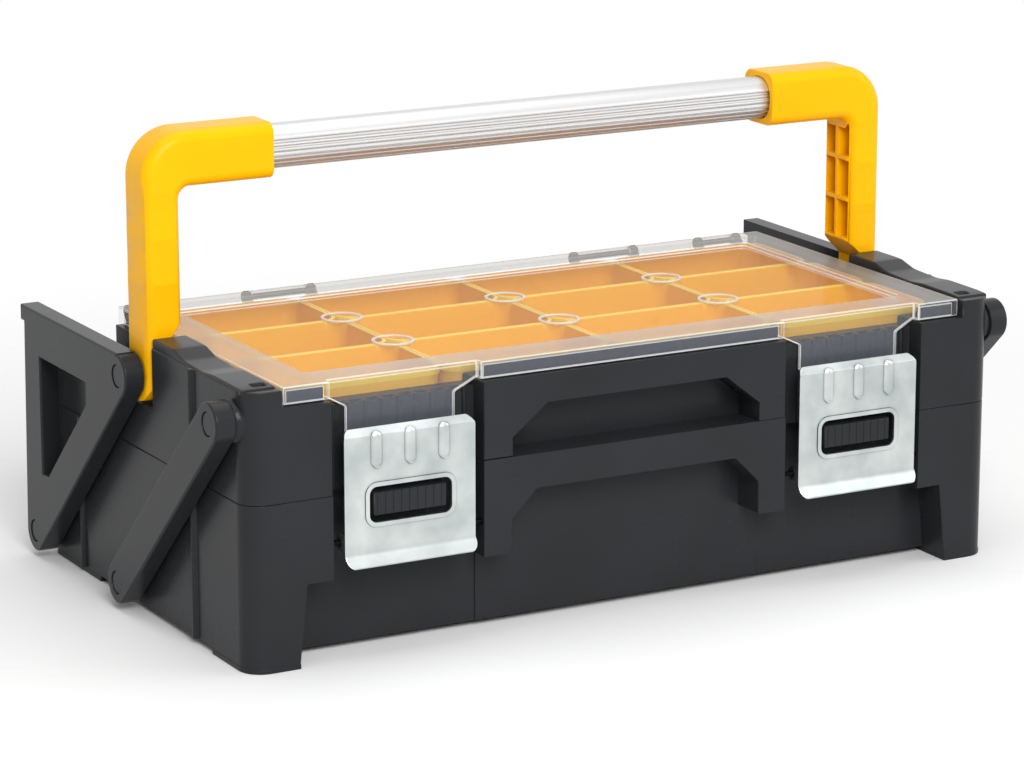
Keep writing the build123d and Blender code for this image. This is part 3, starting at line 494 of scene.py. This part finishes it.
border_top = box_of("lid")[1][2]
border_band = 0.0004
upright = 0.9
cover = skin_of("lid", "clear_lid", "lid")
finish_in(cover, "clear_plastic", clear, painted_glow_white, etched)
# The rounded edges take the second material, the painted white glow
round_edges(cover, edge=0.0007, edge_slot=1)
for face in cover.data.polygons:
    on_border = face.center.z > border_top - border_band and face.normal.z > upright
    if face.material_index == 0 and on_border:
        face.material_index = 2

# Hold-down rings: clear polypropylene rings under the lid's window, one at each crossing of the bins.
# They are moulded with the lid, 0.3 mm over the bins' rims, so that the closed lid keeps the bins in.
ring_outside = 0.0110
ring_inside = 0.0093
ring_height = 0.0010
ring_gap = 0.0003
first_bin_low, first_bin_high = box_of("bin_front_1")
next_bin_low = box_of("bin_middle_2")[0]
crossing = [(first_bin_high[axis] + next_bin_low[axis]) / 2 for axis in (0, 1)]
bin_pitch = [next_bin_low[axis] - first_bin_low[axis] for axis in (0, 1)]
ring_at = (*crossing, rim_top + ring_gap + ring_height / 2)
rings = rod(ring_outside, ring_height, ring_at, faces=64)
rings.name = "lid_hold_down_rings"
work(rings, rod(ring_inside, 3 * ring_height, ring_at, faces=64), "DIFFERENCE")
round_edges(rings, edge=0.0004)
repeat(rings, 3, (bin_pitch[0], 0, 0))
repeat(rings, 2, (0, bin_pitch[1], 0))
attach(rings, "lid")
# The rings are finished all over in the painted white glow, which stands in for the glints on their rounded
# sides
finish_in(rings, "clear_plastic", painted_glow_white)

# Latches: zinc-plated steel plates, pressed with three darts, a window with a turned rim and a flared lip.
# Each turns on a steel wire across its bay.

# Zinc plate on pressed steel: pale grey with a satin gloss, cloudy over about 18 mm, and with painted shade
# that darkens the narrow corners beside what is pressed up.
zinc, shader, place = new_finish("zinc_plated_steel")
spangle = add_node(zinc, "ShaderNodeTexNoise", {"Scale": 1 / 0.018, "Detail": 4.0}, {"Vector": place})
tone = add_node(zinc, "ShaderNodeValToRGB", None, {"Fac": spangle.outputs["Fac"]})
tone.color_ramp.elements[0].color = linear("#98a3a3")
tone.color_ramp.elements[1].color = linear("#e6ebe9")
# Painted shade: ambient occlusion darkens the colour in the narrow corners beside the darts and the rim
corner_occlusion = add_node(zinc, "ShaderNodeAmbientOcclusion", {"Distance": 0.0025, "samples": 8})
painted_crease_shade = add_node(zinc, "ShaderNodeValToRGB", None, {"Fac": corner_occlusion.outputs["AO"]})
painted_crease_shade.color_ramp.elements[0].position = 0.45
painted_crease_shade.color_ramp.elements[0].color = linear("#565d5b")
painted_crease_shade.color_ramp.elements[1].position = 0.95
painted_crease_shade.color_ramp.elements[1].color = linear("#ffffff")
# The Mix node's sockets go by number, because several share a name: 0 is its share, 6 and 7 are its colours
tone_with_painted_shade = add_node(zinc, "ShaderNodeMix", {"data_type": "RGBA", "blend_type": "MULTIPLY"})
tone_with_painted_shade.inputs[0].default_value = 1.0
wire(zinc, tone_with_painted_shade, {6: tone.outputs["Color"], 7: painted_crease_shade.outputs["Color"]})
gloss = add_node(
    zinc, "ShaderNodeMapRange", {"To Min": 0.26, "To Max": 0.42}, {"Value": spangle.outputs["Fac"]}
)
wire(zinc, shader, {"Base Color": tone_with_painted_shade.outputs[2], "Roughness": gloss.outputs["Result"]})
shader.inputs["Metallic"].default_value = 1.0

dart_radius = 0.0033
dart_pitch = 0.0185
dart_axis = -0.1246
dart_middle = 0.1050
dart_reach_up = 0.0070
dart_reach_down = 0.0049
dart_flatness = 0.52
window_half_width = 0.0226
window_corner = 0.0040
rim_width = 0.0021
rim_corner = 0.0062
rim_front = -0.1254
rim_back = -0.1240
# A cut that starts in front of the rim and ends behind the plate
cut_front = -0.1300
cut_back = -0.1200
# The flat of the plate, which holds the darts and the rim, and whose inner edges are left as pressed
flat_half_width = 0.0330
flat_bottom = 0.0580
flat_top = 0.1150
for side, side_name in sides:
    plate = skin_of(f"latch_{side_name}", f"latch_plate_{side_name}", f"latch_{side_name}")
    middle = side * latch_middle
    # Half-round darts: spheres drawn out up and down, and flattened against the plate
    for number in (-1, 0, 1):
        bpy.ops.object.select_all(action="DESELECT")
        bpy.ops.mesh.primitive_uv_sphere_add(
            segments=32, ring_count=16, radius=dart_radius,
            location=(middle + number * dart_pitch, dart_axis, dart_middle),
        )
        dart = bpy.context.object
        bpy.ops.object.transform_apply(location=True, rotation=True, scale=True)
        bpy.ops.object.mode_set(mode="EDIT")
        pick(lambda at: at.z > dart_middle + hair)
        bpy.ops.transform.translate(value=(0, 0, dart_reach_up))
        pick(lambda at: at.z < dart_middle - hair)
        bpy.ops.transform.translate(value=(0, 0, -dart_reach_down))
        bpy.ops.mesh.select_all(action="SELECT")
        bpy.ops.transform.resize(value=(1, dart_flatness, 1), center_override=(0, dart_axis, 0))
        bpy.ops.object.mode_set(mode="OBJECT")
        work(plate, dart, "UNION")
    # A rim pressed forward round the window
    rim_half_width = window_half_width + rim_width
    rim = block(
        (middle - rim_half_width, rim_front, window_bottom - rim_width),
        (middle + rim_half_width, rim_back, window_top + rim_width),
    )
    window = block(
        (middle - window_half_width, cut_front, window_bottom),
        (middle + window_half_width, cut_back, window_top),
    )
    for shape, corner in ((rim, rim_corner), (window, window_corner)):
        take_up(shape)
        bpy.ops.object.mode_set(mode="EDIT")
        bpy.ops.mesh.select_all(action="DESELECT")
        outline = bmesh.from_edit_mesh(shape.data)
        for line in outline.edges:
            front_end, rear_end = (point.co.y for point in line.verts)
            line.select_set(abs(front_end - rear_end) > hair)
        bmesh.update_edit_mesh(shape.data)
        bpy.ops.mesh.bevel(offset=corner, segments=6, affect="EDGES")
        bpy.ops.object.mode_set(mode="OBJECT")
    work(rim, window, "DIFFERENCE")
    work(plate, rim, "UNION")
    round_edges(
        plate, edge=0.0004,
        where=lambda at: abs(at.x - middle) > flat_half_width or at.z < flat_bottom or at.z > flat_top,
    )
    finish_in(plate, "latch_steel", zinc)

# Handle brackets: yellow ABS mouldings, each a sleeve round the tube, a ribbed leg and a thin pivot foot.
# The feet turn on the rear arms' upper pegs. Shallow waves run across the legs' outer, front and back faces.

# Yellow ABS, moulded: a strong even yellow with a soft gloss, and faint clouds about 50 mm across.
yellow, shader, place = new_finish("moulded_yellow_abs")
cloud = add_node(yellow, "ShaderNodeTexNoise", {"Scale": 1 / 0.050, "Detail": 3.0}, {"Vector": place})
tone = add_node(yellow, "ShaderNodeValToRGB", None, {"Fac": cloud.outputs["Fac"]})
tone.color_ramp.elements[0].color = linear("#faaf00")
tone.color_ramp.elements[1].color = linear("#ffc000")
gloss = add_node(
    yellow, "ShaderNodeMapRange", {"To Min": 0.26, "To Max": 0.36}, {"Value": cloud.outputs["Fac"]}
)
wire(yellow, shader, {"Base Color": tone.outputs["Color"], "Roughness": gloss.outputs["Result"]})
shader.inputs["Specular IOR Level"].default_value = 0.12

leg_box = box_of("handle_bracket_right")
leg_front = leg_box[0][1]
leg_outside, leg_back = leg_box[1][:2]
leg_half_width = 0.0100
leg_middle = leg_outside - leg_half_width
handle_middle = middle_of("handle_tube")[1]
wave_radius = 0.0800
wave_length = 0.0600
outer_wave_depth = 0.0010
face_wave_depth = 0.0008
wave_heights = (0.1600, 0.1830, 0.2060)
along_x = (0, math.radians(90), 0)
for side, side_name in sides:
    bracket = skin_of(f"handle_bracket_{side_name}", f"handle_bracket_moulding_{side_name}", "handle")
    for height in wave_heights:
        for turn, x, y in (
            (along_y, side * (leg_outside + wave_radius - outer_wave_depth), handle_middle),
            (along_x, side * leg_middle, leg_front - wave_radius + face_wave_depth),
            (along_x, side * leg_middle, leg_back + wave_radius - face_wave_depth),
        ):
            work(bracket, rod(wave_radius, wave_length, (x, y, height), turn, faces=256), "DIFFERENCE")
    round_edges(bracket, edge=0.0006, angle=50)
    finish_in(bracket, "yellow_plastic", yellow)

# Handle tube: a satin-anodised aluminium extrusion, smooth on top and fluted on its front and back.
# Its ends are pushed into the brackets' sleeves.

# Aluminium, extruded and satin anodised: pale grey, with a soft gloss that is drawn out by fine die lines.
# The lines run along the tube, 0.5 mm apart across it and about 150 mm long.
satin, shader, place = new_finish("satin_anodised_aluminium")
drawn = add_node(
    satin, "ShaderNodeMapping", {"Scale": (1 / 0.150, 1 / 0.0005, 1 / 0.0005)}, {"Vector": place}
)
lines = add_node(
    satin, "ShaderNodeTexNoise", {"Scale": 1.0, "Detail": 2.0}, {"Vector": drawn.outputs["Vector"]}
)
tone = add_node(satin, "ShaderNodeValToRGB", None, {"Fac": lines.outputs["Fac"]})
tone.color_ramp.elements[0].color = linear("#c3c3c4")
tone.color_ramp.elements[1].color = linear("#dededd")
gloss = add_node(
    satin, "ShaderNodeMapRange", {"To Min": 0.30, "To Max": 0.42}, {"Value": lines.outputs["Fac"]}
)
wire(satin, shader, {"Base Color": tone.outputs["Color"], "Roughness": gloss.outputs["Result"]})
shader.inputs["Metallic"].default_value = 1.0

flute_radius = 0.0010
flute_length = 0.4200
# The flutes' axes lie just outside the tube's skin, this far in front of its middle and above it
flute_out = 0.0111
flute_up = 0.0114
flute_angles = (20, 5, -10, -25, -40, -55, -70)
tube_height = middle_of("handle_tube")[2]
tube = skin_of("handle_tube", "fluted_handle_tube", "handle")
for facing in (-1, 1):
    for angle in flute_angles:
        y = handle_middle + facing * flute_out * math.cos(math.radians(angle))
        z = tube_height + flute_up * math.sin(math.radians(angle))
        work(tube, rod(flute_radius, flute_length, (0, y, z), along_x, faces=16), "DIFFERENCE")
merge_flats(tube)
shade(tube)
finish_in(tube, "tube_metal", satin)

# Wires: drawn steel with a black oxide, cut to length, on which the latches and the lid's rear edge turn.
# The latches' wires are pushed into the base and the lid's into the tray. All keep their CAD shape.

# Black-oxide steel, drawn: near black with a dull gloss. The drawing lines are 0.4 mm apart and 20 mm long.
steel, shader, place = new_finish("black_oxide_drawn_steel")
drawn = add_node(
    steel, "ShaderNodeMapping", {"Scale": (1 / 0.020, 1 / 0.0004, 1 / 0.0004)}, {"Vector": place}
)
lines = add_node(
    steel, "ShaderNodeTexNoise", {"Scale": 1.0, "Detail": 2.0}, {"Vector": drawn.outputs["Vector"]}
)
tone = add_node(steel, "ShaderNodeValToRGB", None, {"Fac": lines.outputs["Fac"]})
tone.color_ramp.elements[0].color = linear("#101114")
tone.color_ramp.elements[1].color = linear("#1c1d20")
wire(steel, shader, {"Base Color": tone.outputs["Color"]})
shader.inputs["Metallic"].default_value = 1.0
shader.inputs["Roughness"].default_value = 0.42
for wires in ("latch_pins", "lid_hinge_pins"):
    finish_in(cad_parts[wires], "pin_steel", steel)

# Studio: a pale paper floor that fades to white, soft lamps in front, on the right and above, and a white
# surround. The camera, mirrors and clear pieces see the surround white, and it lights the object less.
paper, shader, place = new_finish("pale_paper_floor")
shader.inputs["Base Color"].default_value = linear("#f6f6f6")
shader.inputs["Roughness"].default_value = 0.9
away = add_node(paper, "ShaderNodeVectorMath", {"operation": "LENGTH"}, {"Vector": place})
fade = add_node(
    paper, "ShaderNodeMapRange", {"interpolation_type": "SMOOTHSTEP", "From Min": 0.30, "From Max": 0.75},
    {"Value": away.outputs["Value"]},
)
glow = add_node(paper, "ShaderNodeEmission")
# The Mix Shader's two shader sockets share a name, so they go by number
blend = add_node(paper, "ShaderNodeMixShader", None, {"Fac": fade.outputs["Result"]})
wire(paper, blend, {1: shader.outputs["BSDF"], 2: glow.outputs["Emission"]})
wire(paper, paper.node_tree.nodes["Material Output"], {"Surface": blend.outputs["Shader"]})
bpy.ops.object.select_all(action="DESELECT")
bpy.ops.mesh.primitive_plane_add(size=12, location=(0, 0, 0))
floor = bpy.context.object
floor.name = "studio_floor"
floor.data.materials.append(paper)

lamps_aim_at = mathutils.Vector((0, 0, 0.1))
for lamp_name, lamp_at, width, watts in (
    ("key", (-0.45, -1.75, 1.25), 1.0, 33),
    ("fill", (1.6, -1.0, 0.9), 1.3, 7),
    ("top", (0, 0.2, 1.9), 1.8, 14),
):
    aim = (lamps_aim_at - mathutils.Vector(lamp_at)).to_track_quat("-Z", "Y").to_euler()
    bpy.ops.object.light_add(type="AREA", location=lamp_at, rotation=aim)
    lamp = bpy.context.object
    lamp.name = f"{lamp_name}_softbox"
    lamp.data.size = width
    lamp.data.energy = watts

world = bpy.data.worlds.new("white_studio")
bpy.context.scene.world = world
world.use_nodes = True
surround = world.node_tree.nodes["Background"]
rays = add_node(world, "ShaderNodeLightPath")
# A Math node's two sockets share a name, so they go by number
through = add_node(world, "ShaderNodeMath", {"operation": "MAXIMUM"})
wire(world, through, {0: rays.outputs["Is Camera Ray"], 1: rays.outputs["Is Transmission Ray"]})
seen = add_node(world, "ShaderNodeMath", {"operation": "MAXIMUM"})
wire(world, seen, {0: through.outputs["Value"], 1: rays.outputs["Is Glossy Ray"]})
level = add_node(
    world, "ShaderNodeMapRange", {"To Min": 0.40, "To Max": 1.0}, {"Value": seen.outputs["Value"]}
)
wire(world, surround, {"Strength": level.outputs["Result"]})
surround.inputs["Color"].default_value = (1.0, 1.0, 1.0, 1.0)

# Camera: the photograph's, from the front left and a little above.
# Its place, turn and lens were solved from the straight edges of the box.
camera_at = (-0.9824, -1.7697, 0.6032)
camera_tilt = math.radians(75.848)
camera_turn = math.radians(-28.909)
bpy.ops.object.camera_add(location=camera_at, rotation=(camera_tilt, 0, camera_turn))
camera = bpy.context.object
camera.data.lens = 138.83
camera.data.sensor_width = 36.0
camera.data.clip_end = 50.0
bpy.context.scene.camera = camera
bpy.context.scene.view_settings.view_transform = "Standard"
